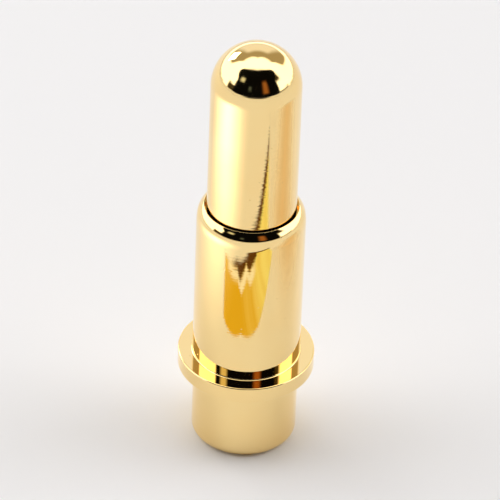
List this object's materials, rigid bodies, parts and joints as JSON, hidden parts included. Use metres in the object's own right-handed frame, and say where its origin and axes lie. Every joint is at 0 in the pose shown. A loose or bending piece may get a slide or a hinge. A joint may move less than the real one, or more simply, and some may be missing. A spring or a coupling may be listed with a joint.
{
  "type": "pogo pin",
  "caption": "Spring-loaded contact pin: a round-nosed plunger slides in a flanged barrel with a rolled mouth and a plain solder tail.",
  "frame": {"origin": "centre of the solder tail's flat end face", "axes": "+Z along the pin, from the tail towards the plunger's round tip; the pin is a body of revolution about Z"},
  "size_m": [0.004, 0.004, 0.0136],
  "materials": {
    "gold_barrel": "bright gold plate over turned brass, mirror smooth",
    "gold_plunger": "bright gold plate over turned brass, with the faintest turning lines round it",
    "spring_steel": "bright drawn stainless spring wire"
  },
  "bodies": {
    "barrel": {"barrel": "gold_barrel", "spring": "spring_steel"},
    "plunger": {"plunger": "gold_plunger"}
  },
  "joints": [
    {"name": "plunger_press", "type": "slide", "parent": "barrel", "child": "plunger", "axis": [0, 0, -1], "range_m": [0, 0.003], "stiffness_N_per_m": 320, "deforming": ["spring"]}
  ]
}
